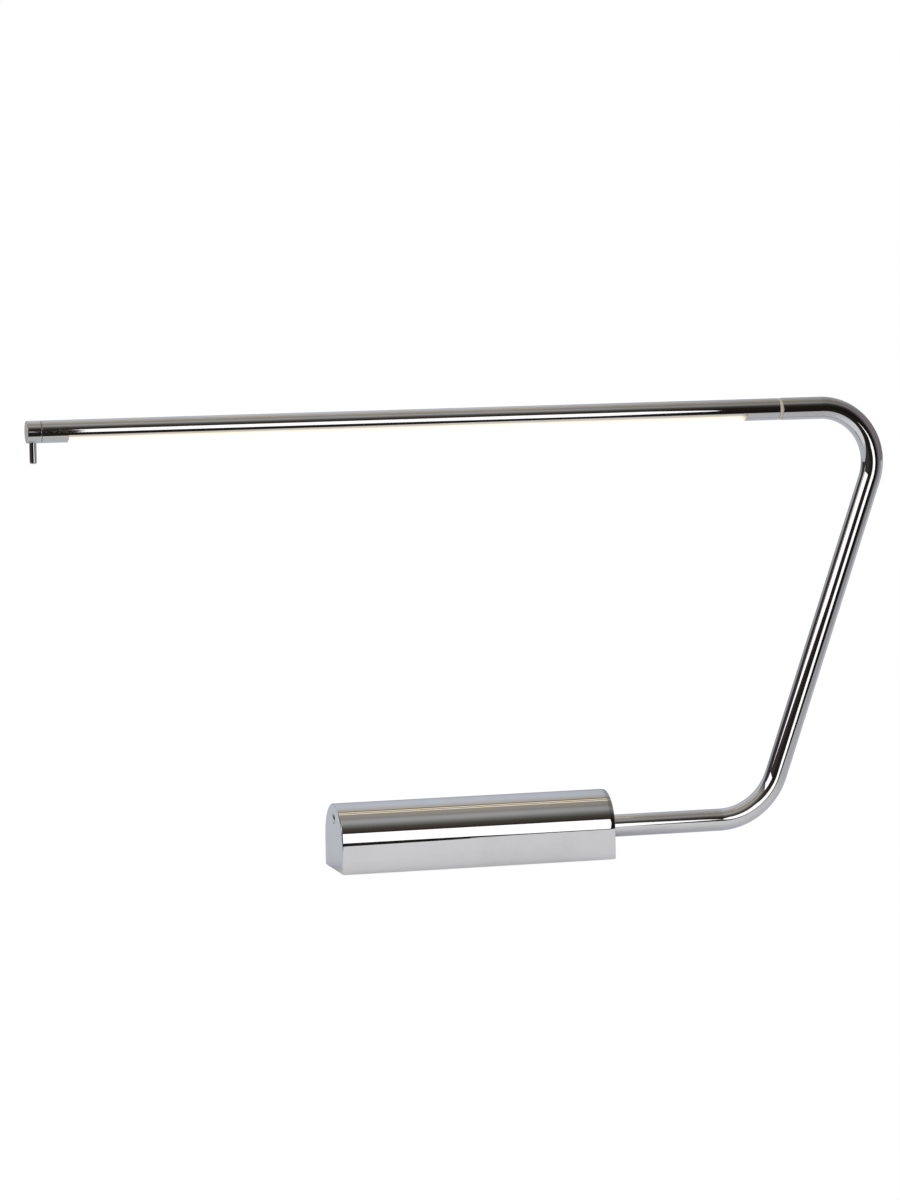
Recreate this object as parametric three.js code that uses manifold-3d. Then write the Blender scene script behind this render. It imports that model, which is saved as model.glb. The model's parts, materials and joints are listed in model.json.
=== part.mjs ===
// Cantilever picture light: a weighted bar base, a bent tube arm and a long LED tube that swivels
// about its own axis on the end of the arm. Millimetres, +Z up. The origin is the middle of the
// base's resting plane; +X runs along the base towards the arm, -Y is the front.
import * as THREE from "three";
import { mergeVertices } from "three/addons/utils/BufferGeometryUtils.js";
import Module from "manifold-3d";

const wasm = await Module();
wasm.setup();

// ---- Driving dimensions ----
const GAP = 0.3; // clearance between pieces that touch on the real lamp
const SIDES = 20; // sides of a turned piece
const FINE_SIDES = 28; // sides of the larger arches and bores

const BASE_LENGTH = 210;
const BASE_DEPTH = 54;
const BASE_HEIGHT = 49.3;
const SHELL_WALL = 2.5;
const PAD_PROUD = 0.8; // the pad lifts the shell this far off the table
const PAD_LENGTH = 178;
const PAD_DEPTH = 40;
const PAD_CORNER = 6;
const END_PLATE = 3;
const END_FOOT = { length: 10, height: 8, half: 19 }; // inside each end plate, takes the bottom screws
const FLOOR_PLATE = 3;

const ARM_OD = 16.8;
const ARM_WALL = 1.2;
const ARM_HEIGHT = 21.8; // axis of the arm where it leaves the base
const ARM_INNER_END = 58; // where the arm ends inside the clamp block
const ARM_CORNER_X = 230; // where the axes of the lower leg and the slanted leg meet
const ARM_SLANT = THREE.MathUtils.degToRad(19.1); // lean of the slanted leg from vertical
const LOWER_BEND = 48.5;
const UPPER_BEND = 41.5;

const HEAD_OD = 16.4;
const HEAD_WALL = 1;
const HEAD_HEIGHT = 331.6; // axis of the LED tube
const SWIVEL_X = 246; // middle of the seam between arm and LED tube
const HEAD_LEFT = -326.2;
const CAP_LENGTH = 10.4;
const WINDOW_LEFT = -296.5;
const WINDOW_RIGHT = 219;
const WINDOW_CUT = -2.6; // the tube is cut away below this height, measured from its axis
const HANDLE_D = 5.3;
const HANDLE_REACH = 23; // from the tube's axis to the tip of the handle pin
const HANDLE_INSET = 4.6; // from the left end of the cap to the axis of the handle pin

const BUTTON_D = 7.8;
const BUTTON_PROUD = 0.9;
const BUTTON_TRAVEL = 0.6;
const BUTTON_HEIGHT = 38.8;

// ---- Sizes that follow from them ----
const halfLength = BASE_LENGTH / 2;
const archRadius = BASE_DEPTH / 2;
const archCentre = PAD_PROUD + BASE_HEIGHT - archRadius;
const cavityHalf = archRadius - SHELL_WALL;
const plateInner = halfLength - END_PLATE; // inner face of an end plate
const floorBottom = PAD_PROUD + 0.4;
const floorTop = floorBottom + FLOOR_PLATE;
const onFloor = floorTop + GAP; // underside of what stands on the bottom plate
const headRadius = HEAD_OD / 2;
const headBore = headRadius - HEAD_WALL;
const seamX = HEAD_LEFT + CAP_LENGTH;

// ---- Materials ----
const finish = (color, roughness, metalness) =>
  new THREE.MeshStandardMaterial({ color, roughness, metalness });
const chrome = () => finish(0xd6d8db, 0.04, 1);
const steel = () => finish(0xa7a9ab, 0.4, 1);
const castIron = () => finish(0x4a4b4d, 0.7, 0.8);
const aluminium = () => finish(0xc4c7ca, 0.35, 1);
const brass = () => finish(0xc9a44c, 0.3, 1);
const blackPlastic = () => finish(0x18191b, 0.5, 0);
const whitePlastic = () => finish(0xe9e7e0, 0.5, 0);
const rubber = () => finish(0x202123, 0.9, 0);
const boardGreen = () => finish(0x1d5c3a, 0.5, 0);
const opal = () => finish(0xfff1dc, 0.35, 0);

// ---- Solids ----
function solidOf(geometry) {
  const bare = geometry.clone();
  bare.deleteAttribute("normal");
  bare.deleteAttribute("uv");
  const merged = mergeVertices(bare, 1e-4);
  return new wasm.Manifold(
    new wasm.Mesh({
      numProp: 3,
      vertProperties: merged.attributes.position.array,
      triVerts: new Uint32Array(merged.index.array),
    }),
  );
}

function geometryOf(solid) {
  const mesh = solid.getMesh();
  const indexed = new THREE.BufferGeometry();
  indexed.setAttribute("position", new THREE.BufferAttribute(mesh.vertProperties, 3));
  indexed.setIndex(new THREE.BufferAttribute(mesh.triVerts, 1));
  const geometry = indexed.toNonIndexed();
  geometry.computeVertexNormals();
  return geometry;
}

const cut = (body, ...tools) =>
  geometryOf(tools.reduce((solid, tool) => solid.subtract(solidOf(tool)), solidOf(body)));
const join = (body, ...others) =>
  geometryOf(others.reduce((solid, other) => solid.add(solidOf(other)), solidOf(body)));

function box([x0, x1], [y0, y1], [z0, z1]) {
  const geometry = new THREE.BoxGeometry(x1 - x0, y1 - y0, z1 - z0);
  return geometry.translate((x0 + x1) / 2, (y0 + y1) / 2, (z0 + z1) / 2);
}

const alongX = new THREE.Matrix4().makeBasis(
  new THREE.Vector3(0, 1, 0),
  new THREE.Vector3(1, 0, 0),
  new THREE.Vector3(0, 0, -1),
);
const alongZ = new THREE.Matrix4().makeRotationX(Math.PI / 2);

// A turned piece about X or Z. Its outline is a list of [radius, place on the axis].
function turned(outline, axis = alongX, sides = SIDES) {
  const points = outline.map(([radius, place]) => new THREE.Vector2(radius, place));
  return new THREE.LatheGeometry(points, sides).applyMatrix4(axis);
}

function rod(radius, from, to, axis = alongX, sides = SIDES) {
  return turned([[0, from], [radius, from], [radius, to], [0, to]], axis, sides);
}

function ring(inner, outer, from, to, axis = alongX, sides = SIDES) {
  const outline = [[inner, from], [outer, from], [outer, to], [inner, to], [inner, from]];
  return turned(outline, axis, sides);
}

// An outline drawn in Y and Z, drawn out along X.
function extrudeX(shape, from, to, curveSegments = FINE_SIDES / 4) {
  const options = { depth: to - from, bevelEnabled: false, curveSegments };
  const toX = new THREE.Matrix4().makeBasis(
    new THREE.Vector3(0, 1, 0),
    new THREE.Vector3(0, 0, 1),
    new THREE.Vector3(1, 0, 0),
  );
  return new THREE.ExtrudeGeometry(shape, options).applyMatrix4(toX).translate(from, 0, 0);
}

// The base's section: straight sides under a half-round top.
function archShape(half, bottom) {
  const shape = new THREE.Shape();
  shape.moveTo(-half, bottom);
  shape.lineTo(half, bottom);
  shape.lineTo(half, archCentre);
  shape.absarc(0, archCentre, half, 0, Math.PI, false);
  shape.lineTo(-half, bottom);
  return shape;
}

function roundedRectangle(halfX, halfY, corner) {
  const shape = new THREE.Shape();
  const quarter = Math.PI / 2;
  fourCorners(halfX - corner, halfY - corner).forEach(([x, y], i) => {
    shape.absarc(x, y, corner, (i + 2) * quarter, (i + 3) * quarter, false);
  });
  shape.closePath();
  return shape;
}

// A slice of a circle below or above a level line, both measured from the circle's centre.
function segmentShape(radius, level, below) {
  const start = Math.asin(level / radius);
  const shape = new THREE.Shape();
  if (below) shape.absarc(0, 0, radius, Math.PI - start, 2 * Math.PI + start, false);
  else shape.absarc(0, 0, radius, start, Math.PI - start, false);
  shape.closePath();
  return shape;
}

// ---- Paths of round tube and cable ----
// A path that an extrusion crosses in one step from each station to the next.
class StationPath extends THREE.Curve {
  constructor(stations) {
    super();
    this.stations = stations;
  }

  getPoint(t, target = new THREE.Vector3()) {
    const place = t * (this.stations.length - 1);
    const index = Math.min(Math.floor(place), this.stations.length - 2);
    const [from, to] = [this.stations[index], this.stations[index + 1]];
    return target.lerpVectors(from.point, to.point, place - index);
  }

  getTangent(t, target = new THREE.Vector3()) {
    return target.copy(this.stations[Math.round(t * (this.stations.length - 1))].along);
  }

  getUtoTmapping(u) {
    return u;
  }
}

const station = (x, z, heading) => ({
  point: new THREE.Vector3(x, 0, z),
  along: new THREE.Vector3(Math.cos(heading), 0, Math.sin(heading)),
});

// Stations round a bend to the left in the XZ plane, between two headings.
function bend(centreX, centreZ, radius, from, to, steps) {
  return Array.from({ length: steps + 1 }, (_, i) => {
    const heading = from + ((to - from) * i) / steps;
    const x = centreX + radius * Math.sin(heading);
    return station(x, centreZ - radius * Math.cos(heading), heading);
  });
}

// The arm's centre line from inside the base, round both bends, to the swivel.
function armStations(startX, endX) {
  const rise = Math.PI / 2 - ARM_SLANT;
  const topCornerX = ARM_CORNER_X + (HEAD_HEIGHT - ARM_HEIGHT) * Math.tan(ARM_SLANT);
  const lowerX = ARM_CORNER_X - LOWER_BEND * Math.tan(rise / 2);
  const upperX = topCornerX - UPPER_BEND * Math.tan((Math.PI - rise) / 2);
  return [
    station(startX, ARM_HEIGHT, 0),
    ...bend(lowerX, ARM_HEIGHT + LOWER_BEND, LOWER_BEND, 0, rise, 8),
    ...bend(upperX, HEAD_HEIGHT - UPPER_BEND, UPPER_BEND, rise, Math.PI, 12),
    station(endX, HEAD_HEIGHT, Math.PI),
  ];
}

function sweep(stations, radius, bore = 0, sides = 8) {
  const shape = new THREE.Shape().absarc(0, 0, radius, 0, 2 * Math.PI, false);
  if (bore) shape.holes.push(new THREE.Path().absarc(0, 0, bore, 0, 2 * Math.PI, true));
  return new THREE.ExtrudeGeometry(shape, {
    steps: stations.length - 1,
    curveSegments: sides / 2, // a full circle gets two sides for each of these
    bevelEnabled: false,
    extrudePath: new StationPath(stations),
  });
}

// ---- Scene graph ----
const lamp = new THREE.Group();
const stand = new THREE.Group();
const button = new THREE.Group();
const head = new THREE.Group();
button.position.z = BUTTON_HEIGHT;
head.position.z = HEAD_HEIGHT;
lamp.add(stand, button, head);

function place(group, name, geometry, material, position = [0, 0, 0]) {
  const mesh = new THREE.Mesh(geometry, material);
  mesh.name = name;
  mesh.position.set(...position);
  group.add(mesh);
}

// ---- Fasteners ----
const M4 = { shank: 2, head: 3.8, socket: 1.3 };
const M3 = { shank: 1.5, head: 2.9, socket: 1 };

// A countersunk socket screw standing on its head, with the head's face at its own zero.
function countersunkScrew({ shank, head: headRadiusMm, socket }, length) {
  const cone = headRadiusMm - shank;
  const outline = [[0, 0], [headRadiusMm, 0], [shank, cone], [shank, length], [0, length]];
  return cut(turned(outline, alongZ, 12), rod(socket, -1, 1.2, alongZ, 6));
}

// The hole that such a screw passes through, with clearance all round.
function countersunkHole({ shank, head: headRadiusMm }, depth, [x, y]) {
  const mouth = headRadiusMm + GAP;
  const bore = shank + GAP;
  const outline = [[0, -2], [mouth, -2], [mouth, 0], [bore, mouth - bore], [bore, depth], [0, depth]];
  return turned(outline, alongZ, 12).translate(x, y, floorBottom);
}

const fourCorners = (x, y) => [[-x, -y], [x, -y], [x, y], [-x, y]];
const plateScrews = fourCorners(plateInner - END_FOOT.length / 2, 13);
const ballastScrews = [[-12, 0], [32, 0]];
const clampScrews = [[64, 13], [82, -13]];
const bracketScrew = [-79, 0];

// ---- Base housing ----
const SCREW_LENGTH = 10;
const INLET_X = -50;
const INLET_HEIGHT = 19;
const INLET_BARREL = 4;

function endPlate(side, opening) {
  const [plateFrom, plateTo] = side < 0 ? [-halfLength, -plateInner] : [plateInner, halfLength];
  const footEnds = [side * (plateInner - END_FOOT.length), side * (plateInner + 1)].sort((a, b) => a - b);
  const foot = box(footEnds, [-END_FOOT.half, END_FOOT.half], [onFloor, onFloor + END_FOOT.height]);
  const plate = extrudeX(archShape(archRadius, PAD_PROUD), plateFrom, plateTo);
  const screwHoles = plateScrews
    .filter(([x]) => x * side > 0)
    .map((place2d) => countersunkHole(M3, SCREW_LENGTH, place2d));
  return cut(join(plate, foot), opening, ...screwHoles);
}

function addHousing() {
  const outside = archShape(archRadius, PAD_PROUD);
  const inside = archShape(cavityHalf, PAD_PROUD - 1);
  const [from, to] = [-plateInner + GAP, plateInner - GAP];
  const inletHole = new THREE.CylinderGeometry(INLET_BARREL + GAP, INLET_BARREL + GAP, 10, SIDES);
  inletHole.translate(INLET_X, archRadius, INLET_HEIGHT);
  const shell = cut(extrudeX(outside, from, to), extrudeX(inside, from - 1, to + 1), inletHole);
  place(stand, "base_shell", shell, chrome());

  const buttonHole = rod(BUTTON_D / 2 + GAP, -halfLength - 1, -plateInner + 1);
  buttonHole.translate(0, 0, BUTTON_HEIGHT);
  place(stand, "left_end_plate", endPlate(-1, buttonHole), chrome());
  const armHole = rod(ARM_OD / 2 + GAP, plateInner - 1, halfLength + 1);
  armHole.translate(0, 0, ARM_HEIGHT);
  place(stand, "right_end_plate", endPlate(1, armHole), chrome());

  const half = cavityHalf - GAP;
  const plate = box([from, to], [-half, half], [floorBottom, floorTop]);
  const holes = [
    ...plateScrews.map((spot) => countersunkHole(M3, SCREW_LENGTH, spot)),
    ...[...ballastScrews, ...clampScrews].map((spot) => countersunkHole(M4, SCREW_LENGTH, spot)),
    countersunkHole(M3, SCREW_LENGTH, bracketScrew),
  ];
  place(stand, "bottom_plate", cut(plate, ...holes), steel());
  plateScrews.forEach(([x, y], i) => {
    const screw = countersunkScrew(M3, SCREW_LENGTH - 1);
    place(stand, `plate_screw_${i + 1}`, screw, steel(), [x, y, floorBottom]);
  });
  const padShape = roundedRectangle(PAD_LENGTH / 2, PAD_DEPTH / 2, PAD_CORNER);
  const padOptions = { depth: floorBottom - GAP, bevelEnabled: false, curveSegments: 5 };
  place(stand, "base_pad", new THREE.ExtrudeGeometry(padShape, padOptions), rubber());
}

// ---- Ballast and the clamp that holds the arm ----
const BALLAST = [-22, 42];
const CABLE_SLOT_FLOOR = 33;
const SET_SCREW = { radius: 2.5, length: 6, tip: 1.5, socket: 1.3 };

function addBallast() {
  const block = extrudeX(archShape(cavityHalf - 1.5, onFloor), ...BALLAST);
  const slot = box([BALLAST[0] - 1, BALLAST[1] + 1], [-5, 5], [CABLE_SLOT_FLOOR, BASE_HEIGHT]);
  const holes = ballastScrews.map((spot) => countersunkHole(M4, SCREW_LENGTH, spot));
  place(stand, "ballast_weight", cut(block, slot, ...holes), castIron());
  ballastScrews.forEach(([x, y], i) => {
    const screw = countersunkScrew(M4, SCREW_LENGTH - 1);
    place(stand, `ballast_screw_${i + 1}`, screw, steel(), [x, y, floorBottom]);
  });
}

function addArmClamp() {
  const [from, to] = [56, 90];
  const top = 37;
  const tubeTop = ARM_HEIGHT + ARM_OD / 2;
  const setScrewPlaces = [65, 81];
  const block = box([from, to], [-18, 18], [onFloor, top]);
  const bore = rod(ARM_OD / 2 + GAP, from - 1, to + 1, alongX, FINE_SIDES);
  bore.translate(0, 0, ARM_HEIGHT);
  const threads = setScrewPlaces.map((x) =>
    rod(SET_SCREW.radius + GAP, ARM_HEIGHT, top + 1, alongZ).translate(x, 0, 0),
  );
  const holes = clampScrews.map((spot) => countersunkHole(M4, SCREW_LENGTH, spot));
  place(stand, "arm_clamp_block", cut(block, bore, ...threads, ...holes), aluminium());
  setScrewPlaces.forEach((x, i) => {
    const { radius, length, tip, socket } = SET_SCREW;
    const outline = [[0, 0], [tip, 0], [radius, radius - tip], [radius, length], [0, length]];
    const setScrew = cut(turned(outline, alongZ), rod(socket, length - 2.5, length + 1, alongZ, 6));
    place(stand, `arm_set_screw_${i + 1}`, setScrew, steel(), [x, 0, tubeTop + GAP]);
  });
  clampScrews.forEach(([x, y], i) => {
    const screw = countersunkScrew(M4, SCREW_LENGTH - 1);
    place(stand, `clamp_screw_${i + 1}`, screw, steel(), [x, y, floorBottom]);
  });
}

// ---- Electronics in the base ----
const BOARD = { x: [-72, -32], y: [-17, 10], bottom: 9, thickness: 1.6 };
const STANDOFF = { radius: 3, neck: 1.2, hole: 1.6 };
const boardTop = BOARD.bottom + BOARD.thickness;
const onBoard = boardTop + GAP;

function addElectronics() {
  const [left, right] = BOARD.x;
  const [front, back] = BOARD.y;
  const board = box(BOARD.x, BOARD.y, [BOARD.bottom, boardTop]);
  const [middleX, middleY] = [(left + right) / 2, (front + back) / 2];
  const { radius, neck, hole } = STANDOFF;
  const corners = fourCorners((right - left) / 2 - radius, (back - front) / 2 - radius);
  const posts = corners.map(([x, y]) => [middleX + x, middleY + y]);
  const holes = posts.map(([x, y]) =>
    rod(hole, BOARD.bottom - 1, boardTop + 1, alongZ, 16).translate(x, y, 0),
  );
  place(stand, "control_board", cut(board, ...holes), boardGreen());
  const shoulder = BOARD.bottom - GAP;
  const outline = [
    [0, onFloor],
    [radius, onFloor],
    [radius, shoulder],
    [neck, shoulder],
    [neck, boardTop + 1],
    [0, boardTop + 1],
  ];
  posts.forEach(([x, y], i) => {
    place(stand, `board_standoff_${i + 1}`, turned(outline, alongZ, 16), whitePlastic(), [x, y, 0]);
  });

  const chip = box([-60, -53], [-6, 1], [onBoard, onBoard + 1.8]);
  place(stand, "dimmer_chip", chip, blackPlastic());
  const inductor = turned([[0, 0], [5, 0], [5, 5], [4, 6], [0, 6]], alongZ);
  place(stand, "power_inductor", inductor, blackPlastic(), [-46, -10, onBoard]);
  const can = turned([[0, 0], [3.6, 0], [4, 0.4], [4, 11], [3.6, 11.4], [0, 11.4]], alongZ);
  place(stand, "filter_capacitor", can, aluminium(), [-62, -12, onBoard]);
  const terminal = box([-42, -34], [-4, 4], [onBoard, onBoard + 9]);
  const entry = rod(2.6, -38, -30).translate(0, 0, onBoard + 5);
  place(stand, "output_terminal", cut(terminal, entry), blackPlastic());
}

// The power socket in the back of the base: a barrel through the wall, its nut and its centre pin.
function addInlet() {
  const alongY = new THREE.Matrix4().makeTranslation(INLET_X, 0, INLET_HEIGHT);
  const barrelEnd = archRadius + 1.8;
  const half = 6; // of the square housing behind the wall
  const socketFloor = 13;
  const housing = box(
    [INLET_X - half, INLET_X + half],
    [socketFloor - 4, cavityHalf - GAP],
    [INLET_HEIGHT - half, INLET_HEIGHT + half],
  );
  const barrel = rod(INLET_BARREL, cavityHalf - 1, barrelEnd);
  const socket = rod(2.8, socketFloor, barrelEnd + 1);
  const nut = ring(INLET_BARREL + GAP, 6, archRadius + GAP, archRadius + GAP + 1.3);
  const contact = turned([
    [0, socketFloor + GAP],
    [1, socketFloor + GAP],
    [1, barrelEnd - 1.4],
    [0.6, barrelEnd - 0.8],
    [0, barrelEnd - 0.8],
  ]);
  const turnToY = new THREE.Matrix4().makeRotationZ(Math.PI / 2);
  for (const piece of [barrel, socket, nut, contact]) {
    piece.applyMatrix4(turnToY);
    piece.applyMatrix4(alongY);
  }
  place(stand, "dc_inlet_body", cut(join(housing, barrel), socket), blackPlastic());
  place(stand, "dc_inlet_nut", nut, chrome());
  place(stand, "dc_inlet_pin", contact, brass());
}

// ---- Push button and its switch ----
const buttonFlange = -plateInner + GAP; // front of the flange that keeps the button in
const SWITCH = [-92.5, -86.5];

function helix(radius, from, to, turns, stepsPerTurn = 10) {
  const count = turns * stepsPerTurn;
  const rise = (to - from) / count;
  const step = (2 * Math.PI * radius) / stepsPerTurn; // round the coil, from station to station
  return Array.from({ length: count + 1 }, (_, i) => {
    const angle = (2 * Math.PI * i) / stepsPerTurn;
    const [across, up] = [Math.cos(angle), Math.sin(angle)];
    return {
      point: new THREE.Vector3(from + rise * i, radius * across, radius * up),
      along: new THREE.Vector3(rise, -step * up, step * across).normalize(),
    };
  });
}

function addButton() {
  const face = -halfLength - BUTTON_PROUD;
  const radius = BUTTON_D / 2;
  const stemEnd = SWITCH[0] - BUTTON_TRAVEL - GAP;
  const outline = [
    [0, face],
    [radius - 0.6, face],
    [radius, face + 0.5],
    [radius, buttonFlange],
    [radius + 1.2, buttonFlange],
    [radius + 1.2, buttonFlange + 1],
    [1.5, buttonFlange + 1],
    [1.5, stemEnd],
    [0, stemEnd],
  ];
  place(button, "push_button", turned(outline), chrome());

  const springEnds = [buttonFlange + 1 + 0.6, SWITCH[0] - 0.6];
  const spring = sweep(helix(2.9, ...springEnds, 5), 0.3, 0, 6);
  place(stand, "button_spring", spring, steel(), [0, 0, BUTTON_HEIGHT]);
  const switchBody = box(SWITCH, [-5, 5], [-5, 5]);
  place(stand, "switch_body", switchBody, blackPlastic(), [0, 0, BUTTON_HEIGHT - 2]);

  const back = SWITCH[1] + GAP;
  const leg = box([back, back + 1.5], [-8, 8], [onFloor, 43]);
  const foot = box([back, -74], [-8, 8], [onFloor, onFloor + 2]);
  const hole = countersunkHole(M3, SCREW_LENGTH, bracketScrew);
  place(stand, "switch_bracket", cut(join(leg, foot), hole), steel());
  const screw = countersunkScrew(M3, 5.5);
  place(stand, "bracket_screw", screw, steel(), [...bracketScrew, floorBottom]);
}

// ---- Arm and its cable ----
const CABLE = 2.2; // radius of the two-core cable

function addArm() {
  const end = SWIVEL_X + 1.5;
  const tube = sweep(armStations(ARM_INNER_END, end), ARM_OD / 2, ARM_OD / 2 - ARM_WALL, 20);
  place(stand, "arm_tube", tube, chrome());
  const armCable = sweep(armStations(ARM_INNER_END + 2, SWIVEL_X - 12), CABLE);
  place(stand, "arm_cable", armCable, blackPlastic());

  const terminalZ = onBoard + 5;
  const slotZ = CABLE_SLOT_FLOOR + CABLE + 1;
  const up = Math.PI / 2;
  const baseCable = sweep(
    [
      station(-37.5, terminalZ, 0),
      station(-32.5, terminalZ, 0),
      station(-28.8, terminalZ + 2, up / 2),
      station(-27, terminalZ + 6, up),
      station(-27, slotZ - 6, up),
      station(-25.5, slotZ - 2, up / 2),
      station(BALLAST[0] + 1, slotZ, 0),
      station(BALLAST[1] - 2, slotZ, 0),
      station(44.6, slotZ - 1.8, -up / 2),
      station(46.5, slotZ - 6, -up),
      station(48.5, ARM_HEIGHT + 2, -up / 2),
      station(53, ARM_HEIGHT, 0),
      station(ARM_INNER_END + 2 - GAP, ARM_HEIGHT, 0),
    ],
    CABLE,
  );
  place(stand, "base_cable", baseCable, blackPlastic());
}

// ---- Swivel between arm and LED tube, in the head group's frame ----
const JOURNAL = 4;
const CABLE_BORE = 2.5;
const RING_LEFT = SWIVEL_X - 0.9;
const RING_RIGHT = SWIVEL_X + 1.2;
const HUB = [225, RING_LEFT - GAP];
const STOP_RADIUS = 5.4; // circle on which the stop pin stands
const STOP_PIN = 0.5;
const STOP_ANGLE = Math.PI / 2; // turn each way from the rest position

function addSwivel() {
  const plug = ARM_OD / 2 - ARM_WALL - GAP;
  const plugEnd = SWIVEL_X + 16;
  const clipGroove = [HUB[0] - 2.6, HUB[0] - 1.1];
  const journalEnd = HUB[0] - 4;
  const outline = [
    [CABLE_BORE, journalEnd],
    [JOURNAL - 0.4, journalEnd],
    [JOURNAL, journalEnd + 0.4],
    [JOURNAL, clipGroove[0]],
    [JOURNAL - 0.5, clipGroove[0]],
    [JOURNAL - 0.5, clipGroove[1]],
    [JOURNAL, clipGroove[1]],
    [JOURNAL, RING_LEFT],
    [plug, RING_LEFT],
    [plug, plugEnd - 1],
    [plug - 1, plugEnd],
    [CABLE_BORE, plugEnd],
    [CABLE_BORE, journalEnd],
  ];
  const pinRoom = STOP_PIN + GAP;
  const slotHalf = STOP_ANGLE + pinRoom / STOP_RADIUS;
  const down = -Math.PI / 2;
  const slotShape = new THREE.Shape();
  slotShape.absarc(0, 0, STOP_RADIUS + pinRoom, down - slotHalf, down + slotHalf, false);
  slotShape.absarc(0, 0, STOP_RADIUS - pinRoom, down + slotHalf, down - slotHalf, true);
  const stopSlot = extrudeX(slotShape, RING_LEFT - 1, RING_LEFT + 1.3);
  const spigot = cut(turned(outline, alongX, FINE_SIDES), stopSlot);
  place(stand, "swivel_spigot", spigot, chrome(), [0, 0, HEAD_HEIGHT]);
  const seamRing = ring(plug + GAP, headRadius - 0.2, RING_LEFT, RING_RIGHT, alongX, FINE_SIDES);
  place(stand, "seam_ring", seamRing, whitePlastic(), [0, 0, HEAD_HEIGHT]);

  const hubOuter = headBore - GAP;
  const pinHole = rod(pinRoom, HUB[1] - 4, HUB[1] + 1, alongX, 16).translate(0, 0, -STOP_RADIUS);
  const hub = cut(ring(JOURNAL + GAP, hubOuter, ...HUB), pinHole);
  place(head, "swivel_hub", hub, brass());
  const stopPin = rod(STOP_PIN, HUB[1] - 3.5, RING_LEFT + 0.8, alongX, 16);
  place(head, "stop_pin", stopPin, steel(), [0, 0, -STOP_RADIUS]);
  const washer = ring(JOURNAL + GAP, hubOuter, HUB[0] - 0.8, HUB[0] - GAP);
  place(head, "friction_washer", washer, whitePlastic());
  const clip = ring(JOURNAL - 0.2, JOURNAL + 1.6, clipGroove[0] + GAP, clipGroove[1] - GAP);
  const mouth = box([HUB[0] - 4, HUB[0]], [-2.6, 2.6], [0, 8]);
  place(stand, "retaining_clip", cut(clip, mouth), steel(), [0, 0, HEAD_HEIGHT]);
}

// ---- LED tube ----
function addHead() {
  const length = [seamX + 0.15, RING_LEFT - GAP];
  const tube = ring(headBore, headRadius, ...length, alongX, FINE_SIDES);
  const window = box(
    [WINDOW_LEFT, WINDOW_RIGHT],
    [-headRadius, headRadius],
    [-2 * headRadius, WINDOW_CUT],
  );
  place(head, "head_tube", cut(tube, window), chrome());

  const inWindow = [WINDOW_LEFT + GAP, WINDOW_RIGHT - GAP];
  const carrierFace = -0.4;
  const carrier = extrudeX(segmentShape(headBore - GAP, carrierFace, false), ...inWindow);
  place(head, "led_carrier", carrier, aluminium());

  const boardFace = carrierFace - GAP - 1;
  const strip = box([inWindow[0] + 2, inWindow[1] - 2], [-4.5, 4.5], [boardFace, boardFace + 1]);
  const packages = 26;
  const pitch = (inWindow[1] - inWindow[0]) / packages;
  const leds = Array.from({ length: packages }, (_, i) => {
    const x = inWindow[0] + pitch * (i + 0.5);
    return box([x - 1.5, x + 1.5], [-1.5, 1.5], [boardFace - 0.7, boardFace + 0.5]);
  });
  place(head, "led_strip", join(strip, ...leds), whitePlastic());

  const lens = segmentShape(headRadius - 0.1, WINDOW_CUT - GAP, true);
  const hollow = segmentShape(headRadius - 1.4, WINDOW_CUT + 1, true);
  const diffuser = cut(
    extrudeX(lens, ...inWindow),
    extrudeX(hollow, inWindow[0] - 1, inWindow[1] + 1),
  );
  place(head, "diffuser", diffuser, opal());

  const headCable = rod(CABLE, inWindow[1] + 1, SWIVEL_X - 12 - GAP, alongX, 12);
  place(head, "head_cable", headCable, blackPlastic());
}

// The left-hand cap and the pin under it that turns the tube by hand.
function addEndCap() {
  const plug = headBore - GAP;
  const plugEnd = seamX + 9;
  const bevel = 0.5;
  const outline = [
    [0, HEAD_LEFT],
    [headRadius - bevel, HEAD_LEFT],
    [headRadius, HEAD_LEFT + bevel],
    [headRadius, seamX - 0.45],
    [headRadius - 0.3, seamX - 0.15],
    [plug, seamX - 0.15],
    [plug, plugEnd],
    [0, plugEnd],
  ];
  const pinX = HEAD_LEFT + HANDLE_INSET;
  const pinTop = -3;
  const seat = rod(HANDLE_D / 2 + GAP, -2 * headRadius, pinTop, alongZ).translate(pinX, 0, 0);
  place(head, "end_cap", cut(turned(outline, alongX, FINE_SIDES), seat), chrome());
  const radius = HANDLE_D / 2;
  const pinOutline = [
    [0, -HANDLE_REACH],
    [radius - 0.7, -HANDLE_REACH],
    [radius, -HANDLE_REACH + 0.8],
    [radius, pinTop - GAP],
    [0, pinTop - GAP],
  ];
  place(head, "handle_pin", turned(pinOutline, alongZ), chrome(), [pinX, 0, 0]);
}

addHousing();
addBallast();
addArmClamp();
addElectronics();
addInlet();
addButton();
addArm();
addSwivel();
addHead();
addEndCap();

export default lamp;
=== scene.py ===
# Looks for the cantilever picture light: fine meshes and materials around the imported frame.
# Metres, +Z up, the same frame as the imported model.
import json
import math

import bmesh
import bpy
from mathutils import Matrix, Vector


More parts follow.
